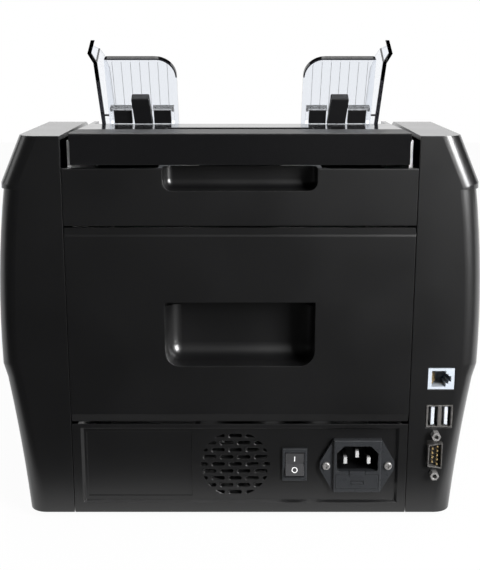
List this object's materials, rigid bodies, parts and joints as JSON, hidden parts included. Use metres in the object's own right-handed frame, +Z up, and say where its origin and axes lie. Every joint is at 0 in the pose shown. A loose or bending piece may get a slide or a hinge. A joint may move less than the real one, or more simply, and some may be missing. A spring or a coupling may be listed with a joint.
{
  "type": "banknote counter",
  "caption": "Desktop banknote counter with a sloping hopper, clear sliding note guides, an open front stacker pocket, a fold-down rear door and a rear bay with fan, switch and mains inlet.",
  "frame": {"origin": "centre of the footprint, on the surface that the feet stand on", "axes": "+Z up, -Y towards the operator at the front, +Y towards the rear with the mains inlet, +X towards the operator's right"},
  "size_m": [0.282, 0.255, 0.2837],
  "materials": {
    "case_black": "satin black moulded plastic",
    "cover_black": "glossy black plastic",
    "clear_acrylic": "clear, faintly blue",
    "switch_black": "fine matt black",
    "steel": "plated, satin",
    "roller_rubber": "matt",
    "board_green": "solder mask",
    "bronze": "bright",
    "pale_plastic": "plain moulded",
    "display_dark": "dark glossy window",
    "key_grey": "satin"
  },
  "bodies": {
    "case": {"base_tray": "steel", "board_bracket": "steel", "control_board": "board_green", "display_lens": "display_dark", "drive_belt": "roller_rubber", "drive_motor": "steel", "fan_frame": "switch_black", "feed_plate": "case_black", "front_panel": "case_black", "hinge_pins": "steel", "hopper_floor": "case_black", "inlet_pins": "steel", "inlet_screws": "steel", "left_housing": "case_black", "left_side_frame": "steel", "lower_rear_panel": "case_black", "main_board": "board_green", "mains_inlet": "switch_black", "network_jack": "pale_plastic", "power_supply": "steel", "right_housing": "case_black", "right_side_frame": "steel", "rubber_feet": "roller_rubber", "sensor_bars": "switch_black", "separation_roller": "roller_rubber", "serial_pins": "bronze", "serial_socket": "steel", "serial_standoffs": "steel", "shaft_bushings": "bronze", "socket_board": "board_green", "stacker_pocket": "case_black", "switch_bezel": "switch_black", "upper_rear_panel": "case_black", "usb_sockets": "steel", "usb_tongues": "pale_plastic"},
    "hopper_cover": {"hopper_cover": "cover_black"},
    "left_guide": {"left_note_guide": "clear_acrylic", "left_guide_rack": "pale_plastic", "left_guide_fingers": "case_black"},
    "right_guide": {"right_note_guide": "clear_acrylic", "right_guide_rack": "pale_plastic", "right_guide_fingers": "case_black"},
    "guide_pinion": {"guide_pinion": "pale_plastic"},
    "rear_door": {"rear_door": "case_black"},
    "switch_rocker": {"switch_rocker": "switch_black"},
    "fuse_drawer": {"fuse_drawer": "switch_black"},
    "fan_rotor": {"fan_rotor": "switch_black"},
    "motor_pulley": {"motor_pulley": "steel"},
    "pickup_roller": {"pickup_shaft": "steel", "pickup_rollers": "roller_rubber"},
    "feed_roller": {"feed_shaft": "steel", "feed_rollers": "roller_rubber"},
    "transport_roller": {"transport_roller": "roller_rubber"},
    "stacker": {"stacker_shaft": "steel", "stacker_wheels": "pale_plastic"},
    "key_add": {"key_add": "key_grey"},
    "key_clear": {"key_clear": "key_grey"},
    "key_menu": {"key_menu": "key_grey"},
    "key_mode": {"key_mode": "key_grey"},
    "key_start": {"key_start": "key_grey"}
  },
  "joints": [
    {"name": "cover_hinge", "type": "hinge", "parent": "case", "child": "hopper_cover", "pos_m": [0, -0.005, 0.195], "axis": [1, 0, 0], "range_deg": [0, 50]},
    {"name": "left_guide_slide", "type": "slide", "parent": "hopper_cover", "child": "left_guide", "axis": [1, 0, 0], "range_m": [-0.0015, 0.028]},
    {"name": "right_guide_slide", "type": "slide", "parent": "hopper_cover", "child": "right_guide", "axis": [-1, 0, 0], "range_m": [-0.0015, 0.028]},
    {"name": "pinion_turn", "type": "hinge", "parent": "hopper_cover", "child": "guide_pinion", "pos_m": [0, 0.0635, 0.2255], "axis": [0, 0, -1], "range_deg": [-12, 202]},
    {"name": "door_hinge", "type": "hinge", "parent": "case", "child": "rear_door", "pos_m": [0, 0.116, 0.0672], "axis": [-1, 0, 0], "range_deg": [0, 75]},
    {"name": "power_rocker", "type": "hinge", "parent": "case", "child": "switch_rocker", "pos_m": [-0.0328, 0.1199, 0.0356], "axis": [1, 0, 0], "range_deg": [-20, 0]},
    {"name": "fuse_drawer_slide", "type": "slide", "parent": "case", "child": "fuse_drawer", "axis": [0, 1, 0], "range_m": [0, 0.02]},
    {"name": "fan_spin", "type": "hinge", "parent": "case", "child": "fan_rotor", "pos_m": [0.0029, 0.1125, 0.0356], "axis": [0, 1, 0], "continuous": true},
    {"name": "motor_spin", "type": "hinge", "parent": "case", "child": "motor_pulley", "pos_m": [0, 0.062, 0.112], "axis": [1, 0, 0], "continuous": true},
    {"name": "pickup_spin", "type": "hinge", "parent": "case", "child": "pickup_roller", "pos_m": [0, 0.02127, 0.1778], "axis": [1, 0, 0], "continuous": true},
    {"name": "feed_spin", "type": "hinge", "parent": "case", "child": "feed_roller", "pos_m": [0, 0.00937, 0.14902], "axis": [1, 0, 0], "continuous": true},
    {"name": "transport_spin", "type": "hinge", "parent": "case", "child": "transport_roller", "pos_m": [0, -0.02145, 0.09746], "axis": [1, 0, 0], "continuous": true},
    {"name": "stacker_spin", "type": "hinge", "parent": "case", "child": "stacker", "pos_m": [0, -0.03, 0.048], "axis": [1, 0, 0], "continuous": true},
    {"name": "press_add", "type": "slide", "parent": "case", "child": "key_add", "axis": [0, 0.8829, -0.4695], "range_m": [0, 0.0015], "stiffness_N_per_m": 400},
    {"name": "press_clear", "type": "slide", "parent": "case", "child": "key_clear", "axis": [0, 0.8829, -0.4695], "range_m": [0, 0.0015], "stiffness_N_per_m": 400},
    {"name": "press_menu", "type": "slide", "parent": "case", "child": "key_menu", "axis": [0, 0.8829, -0.4695], "range_m": [0, 0.0015], "stiffness_N_per_m": 400},
    {"name": "press_mode", "type": "slide", "parent": "case", "child": "key_mode", "axis": [0, 0.8829, -0.4695], "range_m": [0, 0.0015], "stiffness_N_per_m": 400},
    {"name": "press_start", "type": "slide", "parent": "case", "child": "key_start", "axis": [0, 0.8829, -0.4695], "range_m": [0, 0.0015], "stiffness_N_per_m": 400}
  ],
  "couplings": [
    {"joint": "right_guide_slide", "follows": "left_guide_slide", "ratio": 1},
    {"joint": "pinion_turn", "follows": "left_guide_slide", "rad_per_m": 125},
    {"joint": "pickup_spin", "follows": "motor_spin", "ratio": 0.8},
    {"joint": "feed_spin", "follows": "motor_spin", "ratio": 0.5},
    {"joint": "transport_spin", "follows": "motor_spin", "ratio": 0.8},
    {"joint": "stacker_spin", "follows": "motor_spin", "ratio": 0.57143}
  ]
}
